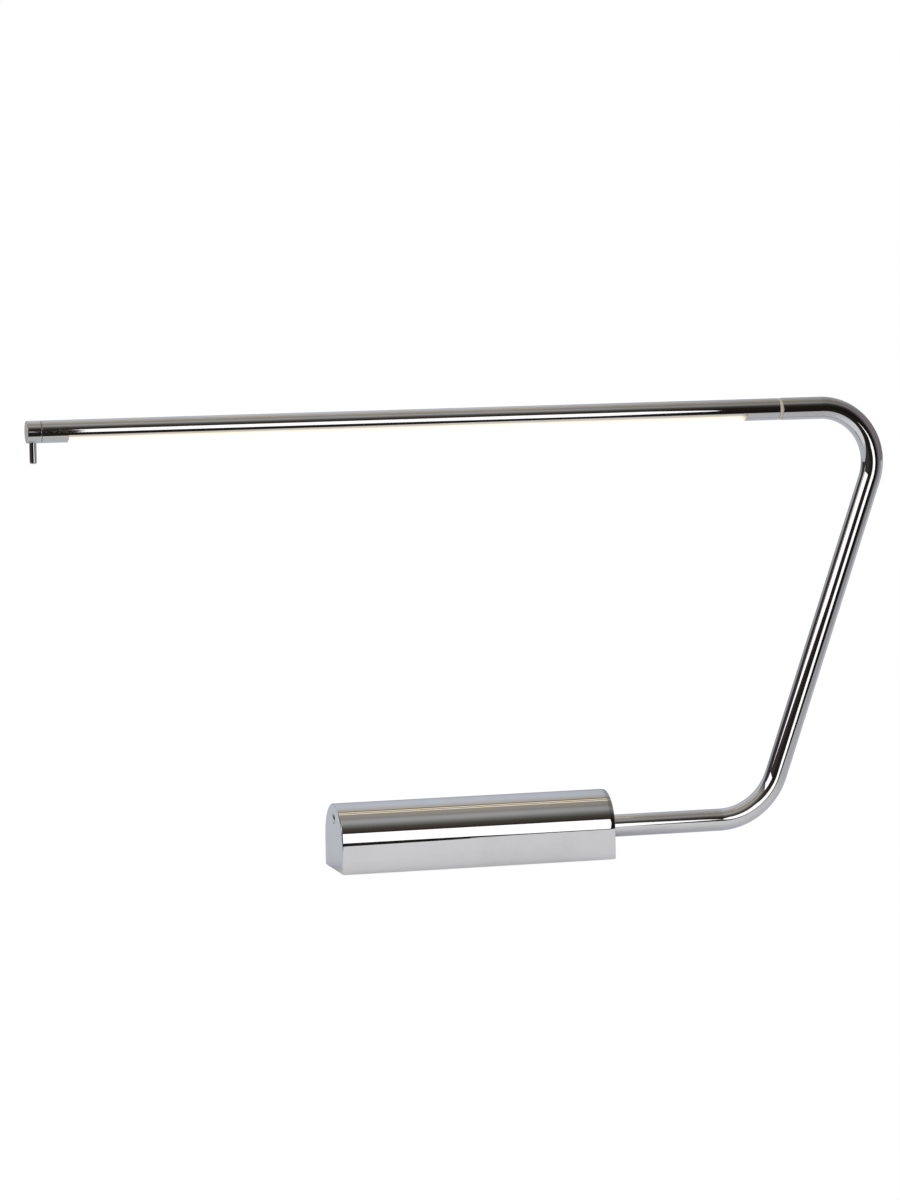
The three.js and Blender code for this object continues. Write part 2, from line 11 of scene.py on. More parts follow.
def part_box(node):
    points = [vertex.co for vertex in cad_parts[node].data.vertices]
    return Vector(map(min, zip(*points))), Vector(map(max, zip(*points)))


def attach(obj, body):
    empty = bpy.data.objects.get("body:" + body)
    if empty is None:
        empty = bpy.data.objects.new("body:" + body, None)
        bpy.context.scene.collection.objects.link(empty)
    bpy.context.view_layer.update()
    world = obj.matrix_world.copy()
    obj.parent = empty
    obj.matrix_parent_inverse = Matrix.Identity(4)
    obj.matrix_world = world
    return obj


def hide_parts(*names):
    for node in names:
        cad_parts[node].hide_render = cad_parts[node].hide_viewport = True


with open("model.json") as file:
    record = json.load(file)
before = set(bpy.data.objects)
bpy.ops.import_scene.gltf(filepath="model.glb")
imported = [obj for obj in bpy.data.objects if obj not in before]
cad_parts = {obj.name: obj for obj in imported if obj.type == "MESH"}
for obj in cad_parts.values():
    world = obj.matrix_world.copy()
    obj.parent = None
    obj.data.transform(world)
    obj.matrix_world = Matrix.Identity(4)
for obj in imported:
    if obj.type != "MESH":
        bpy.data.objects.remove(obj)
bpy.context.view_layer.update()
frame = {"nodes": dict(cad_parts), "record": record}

MM = 0.001

# ---- Sizes: the box of a CAD node gives most of them, these give the rest ----
SIDES = 128
BESIDE = 0.03 * MM  # a point this close to a round keeps the shading of the straight flat
BASE_LOW, BASE_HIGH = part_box("base_shell")
HALF_DEPTH = BASE_HIGH.y
BASE_BOTTOM = BASE_LOW.z
ARCH_CENTRE = BASE_HIGH.z - HALF_DEPTH
BASE_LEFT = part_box("left_end_plate")[0].x
BASE_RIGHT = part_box("right_end_plate")[1].x
END_PLATE = 3 * MM
SHELL_WALL = 2.5 * MM
POLISH_SAG = {-1: 0.08 * MM, 1: 0.38 * MM}  # how far buffing has drawn each end in
POLISH_REACH = 4.0 * MM
SHOULDER_DRAW = (0.02 * MM, 0.003 * MM)  # at the left and right ends, buffing has softened the line
SHOULDER = (ARCH_CENTRE - 1.3 * MM, ARCH_CENTRE + 0.6 * MM)  # where the arch starts
EDGE_ROUND = {-1: 0.9 * MM, 1: 0.5 * MM}  # round on the outer edge of each end plate
PAD_CORNER = 6 * MM
PAD_EDGE = 0.25 * MM
BUTTON_RADIUS = 3.9 * MM
BUTTON_DOME = 0.25 * MM  # how far its face stands out in the middle
STEM_RADIUS = 1.5 * MM
STEM_LENGTH = 6 * MM
SHELL_HOLE = 4.3 * MM  # this and the next four are the inlet's radii
NUT_BORE = 4.2 * MM
SOCKET_OUTER = 4 * MM
SOCKET_BORE = 2.8 * MM
CONTACT_PIN = 1 * MM

ARM_OD = 16.8 * MM
ARM_BORE = ARM_OD - 2.4 * MM
ARM_HEIGHT = 21.8 * MM
ARM_CORNER_X = 230 * MM
ARM_SLANT = math.radians(19.1)
LOWER_BEND = 48.5 * MM
UPPER_BEND = 41.5 * MM

HEAD_LOW, HEAD_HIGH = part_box("head_tube")
HEAD_AXIS = (HEAD_LOW.z + HEAD_HIGH.z) / 2
HEAD_RADIUS = HEAD_HIGH.y
HEAD_WALL = 1 * MM
WINDOW_LOW, WINDOW_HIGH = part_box("diffuser")
WINDOW_CUT = -2.6 * MM  # height of the cut, from the tube's axis
SWIVEL_X = 246 * MM
ARM_END_GAP = 1.35 * MM  # from the middle of the swivel's seam to the arm
SPIGOT_BORE = 2.5 * MM  # this and the next are radii
SPIGOT_NECK = 4 * MM
SEAM = 0.3 * MM  # gap between the end cap and the tube
ON_AXIS = 0.02 * MM  # radius of the small flat that closes a turned piece on its axis
SET_TURN = math.radians(14.98)  # the studio faces the camera, the lamp stands turned in it


# ---- Camera ----
def add_camera():
    aim = Vector((-12.8, 0, 197.6)) * MM
    distance = 3.1496
    azimuth = SET_TURN
    pitch = math.radians(5.53)
    roll = math.radians(-0.945)
    forward = Vector((
        math.sin(azimuth) * math.cos(pitch),
        math.cos(azimuth) * math.cos(pitch),
        -math.sin(pitch),
    ))
    data = bpy.data.cameras.new("camera")
    data.sensor_width = 36
    data.lens = 127.5
    data.clip_end = 50
    camera = bpy.data.objects.new("camera", data)
    turn = Matrix.Rotation(-azimuth, 4, "Z") @ Matrix.Rotation(math.pi / 2 - pitch, 4, "X")
    turn = turn @ Matrix.Rotation(roll, 4, "Z")
    camera.matrix_world = Matrix.Translation(aim - forward * distance) @ turn
    bpy.context.scene.collection.objects.link(camera)
    bpy.context.scene.camera = camera


add_camera()


# ---- Materials ----
def fill_ramp(ramp, stops):
    """Sets a colour ramp to (place from 0 to 1, (r, g, b)) stops."""
    elements = ramp.color_ramp.elements
    elements.remove(elements[1])
    for i, (place, color) in enumerate(stops):
        stop = elements[0] if i == 0 else elements.new(place)
        stop.position = place
        stop.color = (*color, 1)


class Shader:
    """A Principled material with short calls for the nodes that the finishes share."""

    def __init__(self, name, color, roughness, metallic=0.0):
        self.material = bpy.data.materials.new(name)
        self.material.use_nodes = True
        self.tree = self.material.node_tree
        self.principled = self.tree.nodes["Principled BSDF"]
        self.set("Base Color", (*color, 1))
        self.set("Roughness", roughness)
        self.set("Metallic", metallic)
        self.place = self.node("ShaderNodeTexCoord").outputs["Object"]

    def node(self, kind, **values):
        made = self.tree.nodes.new(kind)
        for key, value in values.items():
            setattr(made, key, value)
        return made

    def set(self, socket, value):
        self.principled.inputs[socket].default_value = value

    def link(self, source, target):
        self.tree.links.new(source, target)

    def stretched(self, scale):
        """The object's own coordinates, scaled by a different amount along each axis."""
        mapping = self.node("ShaderNodeMapping")
        mapping.inputs["Scale"].default_value = scale
        self.link(self.place, mapping.inputs["Vector"])
        return mapping.outputs["Vector"]

    def noise(self, scale, detail=3.0, vector=None, roughness=0.5):
        made = self.node("ShaderNodeTexNoise")
        made.inputs["Scale"].default_value = scale
        made.inputs["Detail"].default_value = detail
        made.inputs["Roughness"].default_value = roughness
        self.link(vector or self.place, made.inputs["Vector"])
        return made.outputs["Fac"]

    def ramp(self, value, low, high, to_low, to_high):
        made = self.node("ShaderNodeMapRange")
        for name, number in zip(("From Min", "From Max", "To Min", "To Max"), (low, high, to_low, to_high)):
            made.inputs[name].default_value = number
        self.link(value, made.inputs["Value"])
        return made.outputs["Result"]

    def math(self, operation, first, second):
        made = self.node("ShaderNodeMath", operation=operation)
        for socket, value in zip(made.inputs, (first, second)):
            if isinstance(value, (int, float)):
                socket.default_value = value
            else:
                self.link(value, socket)
        return made.outputs["Value"]

    def tint(self, value, low, high):
        """Mixes two colours by a value from 0 to 1."""
        made = self.node("ShaderNodeMix", data_type="RGBA")
        made.inputs["A"].default_value = (*low, 1)
        made.inputs["B"].default_value = (*high, 1)
        self.link(value, made.inputs["Factor"])
        return made.outputs["Result"]

    def roughness(self, value):
        self.link(value, self.principled.inputs["Roughness"])

    def color(self, value):
        self.link(value, self.principled.inputs["Base Color"])

    def bump(self, height, strength, distance):
        made = self.node("ShaderNodeBump")
        made.inputs["Strength"].default_value = strength
        made.inputs["Distance"].default_value = distance
        self.link(height, made.inputs["Height"])
        self.link(made.outputs["Normal"], self.principled.inputs["Normal"])


def chrome(name, along="X", waviness=0.006):
    """Mirror chrome: faint buffing lines along the piece, hand smudges and a little dust."""
    shader = Shader(name, (0.6, 0.61, 0.62), 0.03, 1.0)
    scale = {"X": (4, 260, 260), "Z": (260, 260, 4)}[along]
    lines = shader.noise(9, 2, shader.stretched(scale))
    smudge = shader.ramp(shader.noise(22, 4, roughness=0.62), 0.48, 0.75, 0.0, 1.0)
    dust = shader.ramp(shader.noise(2600, 1), 0.72, 0.8, 0.0, 1.0)
    sheen = shader.math("MULTIPLY", smudge, 0.035)
    grain = shader.math("MULTIPLY", lines, 0.022)
    specks = shader.math("MULTIPLY", dust, 0.05)
    rough = shader.math("ADD", shader.math("ADD", sheen, grain), specks)
    shader.roughness(shader.math("ADD", rough, 0.012))
    shader.color(shader.tint(smudge, (0.6, 0.61, 0.62), (0.565, 0.57, 0.575)))
    shader.bump(lines, waviness, 0.00005)
    return shader.material


def zinc_steel():
    shader = Shader("zinc_plated_steel", (0.55, 0.56, 0.56), 0.38, 1.0)
    spangle = shader.noise(160, 3)
    brushed = shader.noise(30, 3, shader.stretched((6, 300, 300)))
    shader.roughness(shader.ramp(brushed, 0.3, 0.7, 0.28, 0.46))
    shader.color(shader.tint(spangle, (0.5, 0.51, 0.52), (0.62, 0.62, 0.6)))
    shader.bump(brushed, 0.12, 0.0001)
    return shader.material


def turned_metal(name, dark, light):
    shader = Shader(name, dark, 0.3, 1.0)
    rings = shader.noise(40, 2, shader.stretched((90, 8, 8)))
    shader.roughness(shader.ramp(rings, 0.3, 0.7, 0.2, 0.4))
    shader.color(shader.tint(rings, dark, light))
    shader.bump(rings, 0.1, 0.00008)
    return shader.material


def moulded(name, dark, light, roughness, grain=900, depth=0.25):
    """Moulded plastic, rubber or paint: fine grain with a slow change of tone."""
    shader = Shader(name, dark, roughness)
    fine = shader.noise(grain, 2)
    slow = shader.noise(35, 3)
    shader.roughness(shader.ramp(fine, 0.3, 0.7, roughness - 0.08, roughness + 0.08))
    shader.color(shader.tint(slow, dark, light))
    shader.bump(fine, depth, 0.0001)
    return shader.material


def circuit_board():
    shader = Shader("circuit_board", (0.02, 0.12, 0.06), 0.35)
    tracks = shader.node("ShaderNodeTexBrick", offset=0.3, squash=0.6)
    tracks.inputs["Scale"].default_value = 90
    tracks.inputs["Mortar Size"].default_value = 0.03
    tracks.inputs["Color1"].default_value = (0.012, 0.09, 0.045, 1)
    tracks.inputs["Color2"].default_value = (0.02, 0.15, 0.075, 1)
    tracks.inputs["Mortar"].default_value = (0.05, 0.24, 0.12, 1)
    shader.link(shader.place, tracks.inputs["Vector"])
    shader.color(tracks.outputs["Color"])
    shader.roughness(shader.ramp(shader.noise(500, 2), 0.3, 0.7, 0.28, 0.45))
    shader.bump(tracks.outputs["Fac"], 0.3, 0.00004)
    return shader.material


def lit_opal():
    """Opal acrylic lit from inside: brightest underneath, with painted shade that makes it dimmer and
    warmer by the metal lip and dim at its right end.
    """
    shader = Shader("opal_acrylic_lit", (0.12, 0.115, 0.105), 0.3)
    parts = shader.node("ShaderNodeSeparateXYZ")
    shader.link(shader.place, parts.inputs["Vector"])
    edge = HEAD_AXIS + WINDOW_CUT
    # Painted shade: the glow dims and warms toward the cut's edge, as if the tube's lip shaded the lens.
    depth = shader.ramp(parts.outputs["Z"], edge, edge - 4.8 * MM, 0.0, 1.0)
    glow_and_lip_shade = shader.node("ShaderNodeValToRGB")
    fill_ramp(glow_and_lip_shade, [
        (0.0, (0.44, 0.4, 0.35)),
        (0.2, (0.46, 0.41, 0.35)),
        (0.3, (0.8, 0.7, 0.56)),
        (0.45, (1.0, 0.9, 0.76)),
        (0.75, (1.0, 0.92, 0.8)),
        (1.0, (1.0, 0.87, 0.72)),
    ])
    shader.link(depth, glow_and_lip_shade.inputs["Fac"])
    # Painted shade: the glow dims over the last 5 mm at the right end.
    ends = shader.ramp(parts.outputs["X"], WINDOW_HIGH.x, WINDOW_HIGH.x - 5 * MM, 0.4, 1.0)
    mottle = shader.ramp(shader.noise(70, 2), 0.35, 0.65, 0.97, 1.03)
    under = shader.ramp(depth, 0.5, 1.0, 1.0, 1.32)
    strength = shader.math("MULTIPLY", shader.math("MULTIPLY", ends, mottle), under)
    shader.link(glow_and_lip_shade.outputs["Color"], shader.principled.inputs["Emission Color"])
    shader.link(strength, shader.principled.inputs["Emission Strength"])
    shader.roughness(shader.ramp(shader.noise(400, 2), 0.3, 0.7, 0.24, 0.36))
    return shader.material


CHROME = chrome("polished_chrome")
CHROME_PIN = chrome("polished_chrome_upright", "Z", 0.003)
ZINC = zinc_steel()
BRASS = turned_metal("turned_brass", (0.55, 0.38, 0.14), (0.7, 0.52, 0.24))
ALUMINIUM = turned_metal("mill_aluminium", (0.6, 0.61, 0.62), (0.74, 0.75, 0.76))
IRON = moulded("painted_casting", (0.018, 0.018, 0.019), (0.03, 0.03, 0.03), 0.62, 420, 0.6)
BLACK_PLASTIC = moulded("black_moulding", (0.012, 0.012, 0.013), (0.022, 0.022, 0.023), 0.42)
WHITE_PLASTIC = moulded("white_moulding", (0.74, 0.73, 0.69), (0.82, 0.81, 0.78), 0.42)
SHEATH = moulded("cable_sheath", (0.01, 0.01, 0.011), (0.018, 0.018, 0.019), 0.5, 500, 0.15)
# Ivory nylon: its own pale colour, darkened with painted shade of the seam it sits in.
SHADED_SEAM_NYLON = moulded("seam_nylon_painted_shade", (0.41, 0.385, 0.3), (0.46, 0.43, 0.34), 0.28, 700, 0.1)
PAD_RUBBER = moulded("pad_rubber", (0.02, 0.02, 0.021), (0.035, 0.035, 0.036), 0.78, 1400, 0.5)
BOARD = circuit_board()
OPAL = lit_opal()
SLOT_MATERIALS = {
    "chrome_plate": CHROME,
    "zinc_steel": ZINC,
    "black_iron": IRON,
    "aluminium": ALUMINIUM,
    "brass": BRASS,
    "black_plastic": BLACK_PLASTIC,
    "white_plastic": WHITE_PLASTIC,
    "cable_sheath": SHEATH,
    "circuit_board": BOARD,
    "pad_rubber": PAD_RUBBER,
    "opal_diffuser": OPAL,
}
SLOT_OF = {row["node"]: row["material_slot"] for row in frame["record"]["subparts"]}
BODY_OF = {
    node: body for body, nodes in frame["record"]["behaviour"]["bodies"].items() for node in nodes
}


# ---- Mesh helpers ----
def mesh_object(name, points, faces):
    data = bpy.data.meshes.new(name)
    data.from_pydata([tuple(p) for p in points], [], faces)
    mesh = bmesh.new()
    mesh.from_mesh(data)
    bmesh.ops.recalc_face_normals(mesh, faces=mesh.faces)
    mesh.to_mesh(data)
    mesh.free()
    made = bpy.data.objects.new(name, data)
    bpy.context.scene.collection.objects.link(made)
    return made


def skin(name, rings, closed=False):
    """A surface through rings of equal length. Open ends are closed with one flat face each."""
    count = len(rings[0])
    points = [p for ring in rings for p in ring]
    spans = len(rings) if closed else len(rings) - 1
    faces = []
    for i in range(spans):
        a, b = i * count, ((i + 1) % len(rings)) * count
        faces += [[a + j, a + (j + 1) % count, b + (j + 1) % count, b + j] for j in range(count)]
    if not closed:
        faces.append(list(range(count))[::-1])
        faces.append([(len(rings) - 1) * count + j for j in range(count)])
    return mesh_object(name, points, faces)


AXES = {
    "X": lambda place, side, up: Vector((place, side, up)),
    "Y": lambda place, side, up: Vector((side, place, up)),
    "Z": lambda place, side, up: Vector((side, up, place)),
}


def turned(name, outline, axis, centre, sides=SIDES, closed=False):
    """A turned piece. outline lists (radius, place on the axis); closed makes a ring of it."""
    rings = []
    for radius, place in outline:
        angles = (2 * math.pi * i / sides for i in range(sides))
        rings.append([
            AXES[axis](place, radius * math.cos(a), radius * math.sin(a)) + centre for a in angles
        ])
    return skin(name, rings, closed)


def rounded(outline, radius, steps=4):
    """Rounds the inner corners of an open outline of (radius, place) pairs."""
    result = [outline[0]]
    for before, corner, after in zip(outline, outline[1:], outline[2:]):
        b, c, a = Vector(before), Vector(corner), Vector(after)
        reach = min(radius, (b - c).length / 2.5, (a - c).length / 2.5)
        back, ahead = (b - c).normalized(), (a - c).normalized()
        start, end = c + back * reach, c + ahead * reach
        result.append(tuple(start + back * BESIDE))
        for i in range(steps + 1):
            t = i / steps
            result.append(tuple(start.lerp(c, t).lerp(c.lerp(end, t), t)))
        result.append(tuple(end + ahead * BESIDE))
    result.append(outline[-1])
    return result


def apply_modifiers(piece):
    graph = bpy.context.evaluated_depsgraph_get()
    evaluated = bpy.data.meshes.new_from_object(piece.evaluated_get(graph))
    piece.modifiers.clear()
    piece.data = evaluated


def smooth(piece, angle=35):
    piece.data.shade_smooth()
    piece.data.set_sharp_from_angle(angle=math.radians(angle))


def wear(piece, node, material):
    """Puts a finished piece in a CAD node's place: its body and its material."""
    piece.data.materials.clear()
    piece.data.materials.append(material)
    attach(piece, BODY_OF[node])
    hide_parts(node)


# ---- Base ----
def shoulder_draw(x, z):
    """How far buffing has drawn the base's side in at a place along it and a height."""
    start, full = SHOULDER
    left, right = SHOULDER_DRAW
    deepest = left + (right - left) * (x - BASE_LEFT) / (BASE_RIGHT - BASE_LEFT)
    rise = min(max((z - start) / (full - start), 0.0), 1.0)
    fade = min(max((BASE_HIGH.z - z) / (BASE_HIGH.z - full), 0.0), 1.0)
    return deepest * rise * rise * (3 - 2 * rise) * fade


def arch_side(x, half, low):
    """Half of the base's section, as (distance from the middle, height) from the foot to the crown."""
    start, full = SHOULDER
    fine, coarse = 22, 44
    heights = [low, low + 0.6 * MM] + [start + (full - start) * i / fine for i in range(fine)]
    side = [(math.sqrt(half * half - max(0.0, z - ARCH_CENTRE) ** 2), z) for z in heights]
    first = math.asin((full - ARCH_CENTRE) / half)
    for i in range(coarse + 1):
        angle = first + (math.pi / 2 - first) * i / coarse
        side.append((half * math.cos(angle), ARCH_CENTRE + half * math.sin(angle)))
    return [(max(0.0, y - shoulder_draw(x, z)), z) for y, z in side]


def arch_ring(x, shrink=0.0, bottom=None):
    """The base's section at x, drawn in by shrink all round. It runs from the front foot over."""
    low = BASE_BOTTOM + shrink if bottom is None else bottom
    side = arch_side(x, HALF_DEPTH - shrink, low)
    front = [Vector((x, -y, z)) for y, z in side]
    back = [Vector((x, y, z)) for y, z in reversed(side[:-1])]
    return front + back


def polish_sag(side, distance):
    """How far the surface is drawn in at a distance from an end of the base."""
    near = max(0.0, 1 - distance / POLISH_REACH)
    return POLISH_SAG[side] * near * near


def add_base_shell():
    left = BASE_LEFT + END_PLATE
    right = BASE_RIGHT - END_PLATE
    near = [0.0, 0.35 * MM, 0.7 * MM, 1 * MM, 6 * MM]
    stations = [left + step for step in near] + [0.0] + [right - step for step in reversed(near)]
    outer = []
    for x in stations:
        side = -1 if x < 0 else 1
        outer.append(arch_ring(x, polish_sag(side, BASE_RIGHT - abs(x))))
    inner = [arch_ring(x, SHELL_WALL, BASE_BOTTOM) for x in reversed(stations)]
    count = len(outer[0])
    points = [p for ring in outer + inner for p in ring]
    rings = len(outer) + len(inner)
    faces = []
    for i in range(rings):
        a, b = i * count, ((i + 1) % rings) * count
        faces += [[a + j, a + j + 1, b + j + 1, b + j] for j in range(count - 1)]
    for i in range(len(stations) - 1):
        a, b = i * count, (i + 1) * count
        c, d = (rings - 1 - i) * count, (rings - 2 - i) * count
        faces.append([a, b, d, c])
        faces.append([a + count - 1, c + count - 1, d + count - 1, b + count - 1])
    shell = mesh_object("base_shell_polished", points, faces)
    cut_inlet_hole(shell)
    smooth(shell, 30)
    wear(shell, "base_shell", CHROME)


def cut_inlet_hole(shell):
    low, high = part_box("dc_inlet_nut")
    centre = (low + high) / 2
    reach = 6 * MM
    tool = turned("inlet_cutter", [(SHELL_HOLE, -reach), (SHELL_HOLE, reach)], "Y", centre, 48)
    hole = shell.modifiers.new("hole", "BOOLEAN")
    hole.operation = "DIFFERENCE"
    hole.solver = "EXACT"
    hole.object = tool
    bpy.context.view_layer.update()
    apply_modifiers(shell)
    bpy.data.objects.remove(tool)


def add_end_plate(side, node):
    """An end plate. Buffing has drawn its outer edge in a little, and its rim is slightly eased."""
    outer_face = BASE_LEFT if side < 0 else BASE_RIGHT
    ease = EDGE_ROUND[side]
    rings = []
    depths = [END_PLATE, 2.5 * MM, 2 * MM, 1.5 * MM, 1.1 * MM, ease + BESIDE, ease]
    for depth in depths:
        rings.append(arch_ring(outer_face - side * depth, polish_sag(side, depth)))
    for i in range(1, 9):
        angle = math.pi / 2 * i / 8
        shrink = polish_sag(side, ease) + ease * (1 - math.cos(angle))
        rings.append(arch_ring(outer_face - side * ease * (1 - math.sin(angle)), shrink))
    rings.append(arch_ring(outer_face, polish_sag(side, ease) + ease + BESIDE))
    plate = skin(node + "_polished", rings)
    smooth(plate, 30)
    wear(plate, node, CHROME)


def add_pad():
    low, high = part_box("base_pad")
    pad = skin("base_pad_moulded", [
        rounded_rectangle(low, high, low.z, PAD_EDGE),
        rounded_rectangle(low, high, low.z + PAD_EDGE, 0),
        rounded_rectangle(low, high, high.z, 0),
    ])
    smooth(pad)
    wear(pad, "base_pad", PAD_RUBBER)


def rounded_rectangle(low, high, z, inset, steps=10):
    """The pad's outline at a height, drawn in by inset all round."""
    ring = []
    radius = PAD_CORNER - inset
    for i, (x, y) in enumerate([(high.x, high.y), (low.x, high.y), (low.x, low.y), (high.x, low.y)]):
        centre_x = x - inset - radius if x == high.x else x + inset + radius
        centre_y = y - inset - radius if y == high.y else y + inset + radius
        for j in range(steps + 1):
            angle = math.pi / 2 * (i + j / steps)
            across, along = radius * math.cos(angle), radius * math.sin(angle)
            ring.append(Vector((centre_x + across, centre_y + along, z)))
    return ring


# ---- Arm ----
def arm_path():
    """Points and headings of the arm's centre line, from the base to the swivel."""
    rise = math.pi / 2 - ARM_SLANT
    top_corner = ARM_CORNER_X + (HEAD_AXIS - ARM_HEIGHT) * math.tan(ARM_SLANT)
    lower_x = ARM_CORNER_X - LOWER_BEND * math.tan(rise / 2)
    upper_x = top_corner - UPPER_BEND * math.tan((math.pi - rise) / 2)
    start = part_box("arm_tube")[0].x
    path = [(start, ARM_HEIGHT, 0.0), (BASE_RIGHT - 2 * MM, ARM_HEIGHT, 0.0)]
    bends = [
        (lower_x, ARM_HEIGHT + LOWER_BEND, LOWER_BEND, 0.0, rise, 56),
        (upper_x, HEAD_AXIS - UPPER_BEND, UPPER_BEND, rise, math.pi, 84),
    ]
    beside = 0.5 * MM
    for x, z, radius, turn_from, turn_to, steps in bends:
        for i in range(steps + 1):
            heading = turn_from + (turn_to - turn_from) * i / steps
            spot = (x + radius * math.sin(heading), z - radius * math.cos(heading), heading)
            if i == 0:
                path.append(further(spot, -beside))
            path.append(spot)
        path.append(further(spot, beside))
    return path


def further(spot, distance):
    """The spot straight ahead of, or behind, a spot on the arm's path."""
    x, z, heading = spot
    return (x + distance * math.cos(heading), z + distance * math.sin(heading), heading)


def tube_ring(x, z, heading, radius):
    across = Vector((-math.sin(heading), 0, math.cos(heading)))
    ring = []
    for i in range(SIDES):
        angle = 2 * math.pi * i / SIDES
        offset = across * (radius * math.cos(angle)) + Vector((0, radius * math.sin(angle), 0))
        ring.append(Vector((x, 0, z)) + offset)
    return ring


def add_arm():
    path = arm_path()
    end_x = SWIVEL_X + ARM_END_GAP
    ease = 0.3 * MM
    radius = ARM_OD / 2
    rings = [tube_ring(*spot, radius) for spot in path]
    for along, inward in [(ease + BESIDE, 0), (ease, 0), (ease * 0.3, ease * 0.3), (0, ease)]:
        rings.append(tube_ring(end_x + along, HEAD_AXIS, math.pi, radius - inward))
    bore = [tube_ring(*spot, ARM_BORE / 2) for spot in [(end_x, HEAD_AXIS, math.pi)] + path[::-1]]
    arm = skin("arm_tube_polished", rings + bore, closed=True)
    smooth(arm, 40)
    wear(arm, "arm_tube", CHROME)


def add_swivel():
    """The hollow spigot inside the joint, and the pale ring that shows in its seam."""
    low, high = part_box("swivel_spigot")
    ring_low, ring_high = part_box("seam_ring")
    centre = Vector((0, 0, HEAD_AXIS))
    flange = high.z - HEAD_AXIS
    spigot = turned("swivel_spigot_turned", rounded([
        (SPIGOT_BORE, low.x),
        (SPIGOT_NECK, low.x),
        (SPIGOT_NECK, ring_low.x),
        (flange, ring_low.x),
        (flange, high.x),
        (SPIGOT_BORE, high.x),
    ], 0.25 * MM), "X", centre, closed=True)
    smooth(spigot)
    wear(spigot, "swivel_spigot", CHROME)

    snug = 0.1 * MM  # the ring all but fills the seam
    left, right = ring_low.x - snug, ring_high.x + snug
    outer = ring_high.z - HEAD_AXIS
    bore = flange + 0.3 * MM
    ring = turned("seam_ring_moulded", rounded([
        (bore, left + 0.05 * MM),
        (bore, left),
        (outer, left),
        (outer, right),
        (bore, right),
        (bore, left + 0.1 * MM),
    ], 0.2 * MM), "X", centre, closed=True)
    smooth(ring)
    wear(ring, "seam_ring", SHADED_SEAM_NYLON)


# ---- LED tube ----
def head_columns(radius):
    """Angles round the tube, with one column on each edge of the window's cut."""
    edge = math.asin(WINDOW_CUT / radius)
    upper = SIDES * 5 // 8
    top = [edge + (math.pi - 2 * edge) * i / upper for i in range(upper)]
    span = math.pi + 2 * edge
    lower = SIDES - upper
    under = [math.pi - edge + span * i / lower for i in range(lower)]
    return top + under, upper


def head_ring(x, radius, angles):
    return [Vector((x, radius * math.cos(a), HEAD_AXIS + radius * math.sin(a))) for a in angles]


def add_head_tube():
    bore = HEAD_RADIUS - HEAD_WALL
    outer_angles, upper = head_columns(HEAD_RADIUS)
    inner_angles, _ = head_columns(bore)
    ease = 0.25 * MM
    past = 0.12 * MM  # the cut runs this far past each end of the CAD diffuser
    cut_left = WINDOW_LOW.x - past
    cut_right = WINDOW_HIGH.x + past
    low, high = HEAD_LOW.x, HEAD_HIGH.x
    stations = [
        (low, ease), (low + 0.3 * ease, 0.3 * ease), (low + ease, 0), (low + ease + BESIDE, 0),
        (cut_left, 0), (cut_right, 0),
        (high - ease - BESIDE, 0), (high - ease, 0), (high - 0.3 * ease, 0.3 * ease), (high, ease),
    ]
    first_cut, last_cut = 4, 5
    outer = [head_ring(x, HEAD_RADIUS - inward, outer_angles) for x, inward in stations]
    inner = [head_ring(x, bore, inner_angles) for x, _ in reversed(stations)]
    rings = outer + inner
    points = [p for ring in rings for p in ring]
    total = len(rings)
    count = SIDES
    faces = []
    for i in range(total):
        mirrored = total - 2 - i
        in_window = first_cut in (i, mirrored)
        a, b = i * count, ((i + 1) % total) * count
        for j in range(count):
            if in_window and j >= upper:
                continue
            k = (j + 1) % count
            faces.append([a + j, a + k, b + k, b + j])
    out_a, out_b = first_cut * count, last_cut * count
    in_a, in_b = (total - 1 - first_cut) * count, (total - 1 - last_cut) * count
    for j in (0, upper):
        faces.append([out_a + j, out_b + j, in_b + j, in_a + j])
    for outer_row, inner_row in ((out_a, in_a), (out_b, in_b)):
        for j in range(upper, count):
            k = (j + 1) % count
            faces.append([outer_row + j, outer_row + k, inner_row + k, inner_row + j])
    tube = mesh_object("head_tube_polished", points, faces)
    smooth(tube, 30)
    wear(tube, "head_tube", CHROME)


def add_diffuser():
    """An opal lens that completes the tube's round section below the cut."""
    radius = HEAD_RADIUS - 0.08 * MM
    lip = WINDOW_CUT - 0.05 * MM
    edge = math.asin(lip / radius)
    steps = 40
    thickness = 1.2 * MM
    angles = [math.pi - edge + (math.pi + 2 * edge) * i / steps for i in range(steps + 1)]
    ease = 0.4 * MM
    rings = []
    ends = [(WINDOW_LOW.x - 0.05 * MM, ease), (WINDOW_LOW.x + ease, 0)]
    ends += [(WINDOW_HIGH.x - ease, 0), (WINDOW_HIGH.x + 0.05 * MM, ease)]
    for x, inward in ends:
        outer = head_ring(x, radius - inward, angles)
        inner = head_ring(x, radius - thickness, angles[::-1])
        rings.append(outer + inner)
    lens = skin("diffuser_lens", rings)
    smooth(lens, 50)
    wear(lens, "diffuser", OPAL)


def add_end_cap():
    low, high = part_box("end_cap")
    seam = HEAD_LOW.x - SEAM
    plug = HEAD_RADIUS - HEAD_WALL - 0.05 * MM
    outline = rounded([
        (ON_AXIS, low.x),
        (HEAD_RADIUS, low.x),
        (HEAD_RADIUS, seam - 0.3 * MM),
        (HEAD_RADIUS - 0.35 * MM, seam),
        (plug, seam),
        (plug, high.x),
        (ON_AXIS, high.x),
    ], 0.35 * MM)
    cap = turned("end_cap_polished", outline, "X", Vector((0, 0, HEAD_AXIS)))
    smooth(cap)
    wear(cap, "end_cap", CHROME)


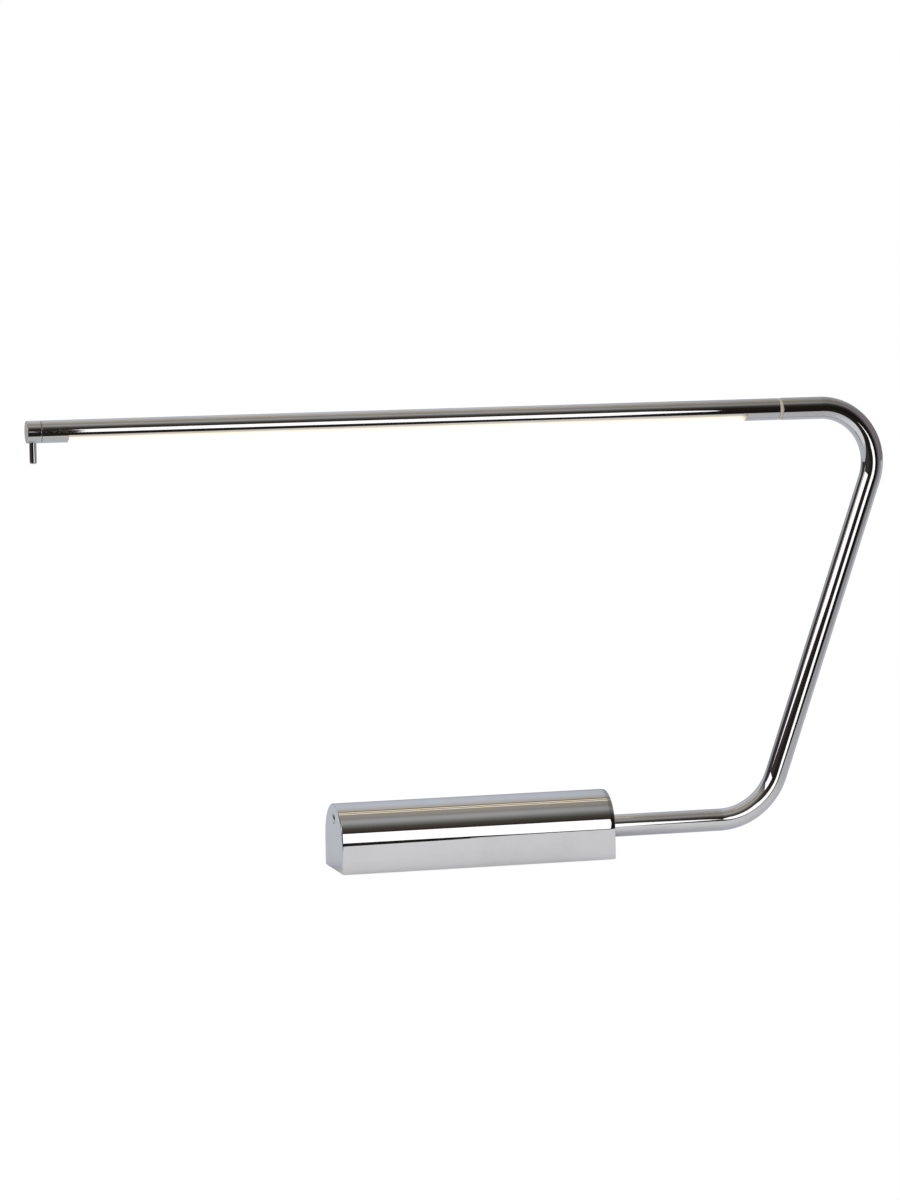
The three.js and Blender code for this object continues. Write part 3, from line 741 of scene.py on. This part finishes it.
def add_handle_pin():
    low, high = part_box("handle_pin")
    centre = (low + high) / 2
    radius = (high.x - low.x) / 2
    chamfer = 0.7 * MM
    outline = rounded([
        (ON_AXIS, low.z),
        (radius - chamfer, low.z),
        (radius, low.z + chamfer),
        (radius, high.z),
        (ON_AXIS, high.z),
    ], 0.35 * MM)
    pin = turned("handle_pin_polished", outline, "Z", Vector((centre.x, centre.y, 0)), 64)
    smooth(pin, 50)
    wear(pin, "handle_pin", CHROME_PIN)


# ---- Button and inlet ----
def add_push_button():
    low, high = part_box("push_button")
    centre = (low + high) / 2
    radius = BUTTON_RADIUS
    dome = [(radius * s, low.x + BUTTON_DOME * s * s) for s in (0.01, 0.2, 0.4, 0.6, 0.75)]
    bevel = 0.25 * MM
    rim = low.x + 0.3 * MM
    edge = [(radius - bevel, rim), (radius, rim + bevel)]
    back = high.x - STEM_LENGTH
    stem = [(radius, back), (STEM_RADIUS, back), (STEM_RADIUS, high.x)]
    outline = dome + edge + stem + [(ON_AXIS, high.x)]
    cap = turned("push_button_polished", outline, "X", Vector((0, centre.y, centre.z)), 96)
    smooth(cap)
    wear(cap, "push_button", CHROME)


def add_inlet():
    nut_low, nut_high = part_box("dc_inlet_nut")
    centre = (nut_low + nut_high) / 2
    outer = (nut_high.x - nut_low.x) / 2
    around = Vector((centre.x, 0, centre.z))
    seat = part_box("base_shell")[1].y + 0.03 * MM
    outline = rounded([
        (NUT_BORE, seat),
        (outer, seat),
        (outer, nut_high.y),
        (NUT_BORE, nut_high.y),
        (NUT_BORE, seat),
    ], 0.25 * MM)
    nut = turned("inlet_nut_polished", outline[:-1], "Y", around, 96, closed=True)
    smooth(nut)
    wear(nut, "dc_inlet_nut", CHROME)

    low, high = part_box("dc_inlet_body")
    bottom = low.y + 4 * MM
    back = low.y + 1 * MM
    sleeve = rounded([
        (SOCKET_BORE, bottom),
        (SOCKET_BORE, high.y),
        (SOCKET_OUTER, high.y),
        (SOCKET_OUTER, back),
        (ON_AXIS, back),
    ], 0.3 * MM)
    floor = [(ON_AXIS, bottom)]
    body = turned("inlet_socket_moulded", floor + sleeve, "Y", around, 64)
    smooth(body)
    wear(body, "dc_inlet_body", BLACK_PLASTIC)

    low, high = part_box("dc_inlet_pin")
    corners = [(ON_AXIS, low.y), (CONTACT_PIN, low.y), (CONTACT_PIN, high.y), (ON_AXIS, high.y)]
    tip = rounded(corners, 0.5 * MM)
    pin = turned("inlet_pin_turned", tip, "Y", around, 32)
    smooth(pin)
    wear(pin, "dc_inlet_pin", BRASS)


# ---- Studio ----
def emitter(name, color, strength):
    material = bpy.data.materials.new(name)
    material.use_nodes = True
    tree = material.node_tree
    tree.nodes.clear()
    light = tree.nodes.new("ShaderNodeEmission")
    light.inputs["Color"].default_value = (*color, 1)
    light.inputs["Strength"].default_value = strength
    output = tree.nodes.new("ShaderNodeOutputMaterial")
    tree.links.new(light.outputs["Emission"], output.inputs["Surface"])
    return material


def set_piece(name, points, faces, material):
    """A piece of the studio that is seen only in the chrome."""
    made = mesh_object(name, [Vector(p) for p in points], faces)
    made.data.materials.append(material)
    made.visible_camera = False
    made.visible_diffuse = False
    made.visible_shadow = False


def paper_with_painted_light():
    """Paper under the lamp, with light and shade painted into its colour: a painted pool of light before
    the base, painted shade to both sides, bluer and dimmer behind.
    """
    shader = Shader("paper_with_painted_light", (0.9, 0.9, 0.9), 1.0)
    shader.set("Specular IOR Level", 0.0)
    parts = shader.node("ShaderNodeSeparateXYZ")
    shader.link(shader.place, parts.inputs["Vector"])
    # Painted light and shade along X: brightest before the base, darker to both sides.
    front = shader.node("ShaderNodeValToRGB")
    shader.link(shader.ramp(parts.outputs["X"], -1.0, 1.0, 0.0, 1.0), front.inputs["Fac"])
    fill_ramp(front, [
        (0.2, (0.6, 0.6, 0.6)),
        (0.38, (0.68, 0.68, 0.67)),
        (0.45, (0.99, 0.965, 0.975)),
        (0.6, (0.96, 0.94, 0.95)),
        (0.68, (0.66, 0.65, 0.66)),
        (0.8, (0.5, 0.49, 0.5)),
        (1.0, (0.42, 0.4, 0.41)),
    ])
    # Painted light: bluer behind the lamp.
    made = shader.node("ShaderNodeMix", data_type="RGBA")
    made.inputs["B"].default_value = (0.66, 0.67, 0.73, 1)
    shader.link(shader.ramp(parts.outputs["Y"], -0.03, 0.02, 0.0, 1.0), made.inputs["Factor"])
    shader.link(front.outputs["Color"], made.inputs["A"])
    # Painted shade: dimmer further behind.
    distance = shader.ramp(parts.outputs["Y"], 1.0, 3.5, 0.0, 1.0)
    far = shader.node("ShaderNodeMix", data_type="RGBA")
    far.inputs["B"].default_value = (0.46, 0.45, 0.45, 1)
    shader.link(distance, far.inputs["Factor"])
    shader.link(made.outputs["Result"], far.inputs["A"])
    shader.color(far.outputs["Result"])
    return shader.material


def add_stage():
    floor_paint = Shader("floor_paint", (0.05, 0.05, 0.05), 0.9)
    floor_paint.set("Specular IOR Level", 0.0)
    floor_paint.set("Emission Color", (1, 1, 1, 1))
    floor_paint.set("Emission Strength", 0.965)
    far = 30.0
    under = -0.2 * MM  # just clear of the pad's face
    corners = [(-far, -far), (far, -far), (far, far), (-far, far)]
    floor = mesh_object("floor", [Vector((x, y, under)) for x, y in corners], [[0, 1, 2, 3]])
    floor.data.materials.append(floor_paint.material)
    floor.visible_glossy = False
    floor.visible_diffuse = False
    floor.visible_shadow = False

    turn = Matrix.Rotation(-SET_TURN, 4, "Z")
    # The paper's section, as (place behind the lamp, height): it drops away in front.
    profile = [(8, 0), (-0.1, 0), (-0.2, -0.006), (-0.3, -0.02), (-0.4, -0.043), (-0.445, -0.0545)]
    half_width = 5
    points = [turn @ Vector((x, y, z)) for y, z in profile for x in (-half_width, half_width)]
    faces = [[i, i + 1, i + 3, i + 2] for i in range(0, 2 * len(profile) - 2, 2)]
    set_piece("sweep", points, faces, paper_with_painted_light())

    outline = [
        (0.07, -0.1), (0.5, -0.1), (0.56, -0.13), (0.7, -0.13), (0.834, 0.36), (0.834, 0.6),
        (0.77, 0.9), (0.09, 0.9), (0.05, 0.86), (0.05, -0.08),
    ]
    plane = -1.9  # two of the softboxes stand in this plane, in front of the lamp
    points = [(x, plane, z) for x, z in outline]
    white = emitter("softbox_cloth", (1.0, 0.99, 1.0), 1.8)
    set_piece("softbox_right", points, [list(range(len(outline)))], white)

    outline = [(-0.04, 0.3), (-0.005, 0.3), (-0.005, 0.66), (-0.04, 0.66)]
    points = [(x, plane, z) for x, z in outline]
    side = emitter("softbox_side", (0.5, 0.49, 0.58), 1.0)
    set_piece("softbox_edge", points, [[0, 1, 2, 3]], side)

    near, far_end = (-1.73, -2.12), (-2.54, -0.31)
    foot, top = 0.95, 2.0
    points = [(*near, foot), (*far_end, foot), (*far_end, top), (*near, top)]
    set_piece("softbox_left", points, [[0, 1, 2, 3]], white)


# The studio's walls as the chrome sees them: degrees from the horizon in front of the lamp, up and over to
# the horizon behind it, and the colour there. Worked out from pixel colours read off the chrome in one
# photo, then adjusted, so they fit that photo and aren't a neutral studio.
WORLD_BANDS = [
    (0, (0.022, 0.018, 0.014)),
    (20, (0.03, 0.022, 0.017)),
    (30, (0.06, 0.043, 0.036)),
    (40, (0.1, 0.088, 0.07)),
    (45, (0.17, 0.165, 0.145)),
    (50, (0.26, 0.26, 0.245)),
    (56, (0.41, 0.4, 0.39)),
    (61, (0.51, 0.49, 0.49)),
    (66, (0.5, 0.49, 0.49)),
    (71, (0.42, 0.415, 0.405)),
    (75, (0.36, 0.345, 0.32)),
    (80, (0.44, 0.4, 0.345)),
    (96, (0.48, 0.42, 0.345)),
    (98.6, (0.46, 0.4, 0.32)),  # from here a narrow warm strip of light
    (99.2, (1.6, 1.25, 0.86)),
    (101.2, (1.6, 1.25, 0.86)),
    (101.8, (0.28, 0.24, 0.19)),
    (105, (0.28, 0.25, 0.21)),
    (107, (0.62, 0.57, 0.52)),
    (115, (0.69, 0.65, 0.61)),
    (122, (0.74, 0.73, 0.74)),
    (130, (0.735, 0.77, 0.86)),
    (150, (0.68, 0.71, 0.79)),
    (163, (0.56, 0.58, 0.63)),
    (172, (0.42, 0.43, 0.46)),
    (180, (0.4, 0.41, 0.43)),
]


def add_world():
    """White all round for the camera and for soft light; the studio's walls in the chrome."""
    world = bpy.data.worlds.new("studio")
    bpy.context.scene.world = world
    world.use_nodes = True
    tree = world.node_tree
    nodes, links = tree.nodes, tree.links
    nodes.clear()
    place = nodes.new("ShaderNodeTexCoord")
    parts = nodes.new("ShaderNodeSeparateXYZ")
    links.new(place.outputs["Generated"], parts.inputs["Vector"])

    def maths(operation, *values):
        made = nodes.new("ShaderNodeMath")
        made.operation = operation
        for socket, value in zip(made.inputs, values):
            if isinstance(value, (int, float)):
                socket.default_value = value
            else:
                links.new(value, socket)
        return made.outputs["Value"]

    toward_front = maths("MULTIPLY", parts.outputs["Y"], -1)
    angle = maths("DIVIDE", maths("ARCTAN2", parts.outputs["Z"], toward_front), math.pi)
    bands = nodes.new("ShaderNodeValToRGB")
    fill_ramp(bands, [(degrees / 180, color) for degrees, color in WORLD_BANDS])
    links.new(maths("WRAP", angle, 1.5, -0.5), bands.inputs["Fac"])
    color = bands.outputs["Color"]
    # Each tints one side: the X of a direction where it starts and is full, its colour and amount.
    sides = [
        (-0.6, -0.78, (0.06, 0.045, 0.045), 1.0),
        (0.27, 0.36, (0.0, 0.0, 0.0), 0.42),
        (0.6, 0.85, (0.27, 0.23, 0.25), 1.0),
    ]
    for start, full, side_color, amount in sides:
        fade = nodes.new("ShaderNodeMapRange")
        fade.inputs["From Min"].default_value = start
        fade.inputs["From Max"].default_value = full
        fade.inputs["To Max"].default_value = amount
        links.new(parts.outputs["X"], fade.inputs["Value"])
        mix = nodes.new("ShaderNodeMix")
        mix.data_type = "RGBA"
        mix.inputs["B"].default_value = (*side_color, 1)
        links.new(fade.outputs["Result"], mix.inputs["Factor"])
        links.new(color, mix.inputs["A"])
        color = mix.outputs["Result"]
    in_chrome = nodes.new("ShaderNodeBackground")
    links.new(color, in_chrome.inputs["Color"])
    plain = nodes.new("ShaderNodeBackground")
    plain.inputs["Color"].default_value = (1, 1, 1, 1)
    plain.inputs["Strength"].default_value = 1.01
    path = nodes.new("ShaderNodeLightPath")
    mix = nodes.new("ShaderNodeMixShader")
    links.new(path.outputs["Is Glossy Ray"], mix.inputs["Fac"])
    links.new(plain.outputs[0], mix.inputs[1])
    links.new(in_chrome.outputs[0], mix.inputs[2])
    output = nodes.new("ShaderNodeOutputWorld")
    links.new(mix.outputs[0], output.inputs["Surface"])


for node, piece in frame["nodes"].items():
    piece.data.materials.clear()
    piece.data.materials.append(SLOT_MATERIALS[SLOT_OF[node]])

add_base_shell()
add_end_plate(-1, "left_end_plate")
add_end_plate(1, "right_end_plate")
add_pad()
add_arm()
add_swivel()
add_head_tube()
add_diffuser()
add_end_cap()
add_handle_pin()
add_push_button()
add_inlet()
add_stage()
add_world()
bpy.context.scene.view_settings.view_transform = "Standard"
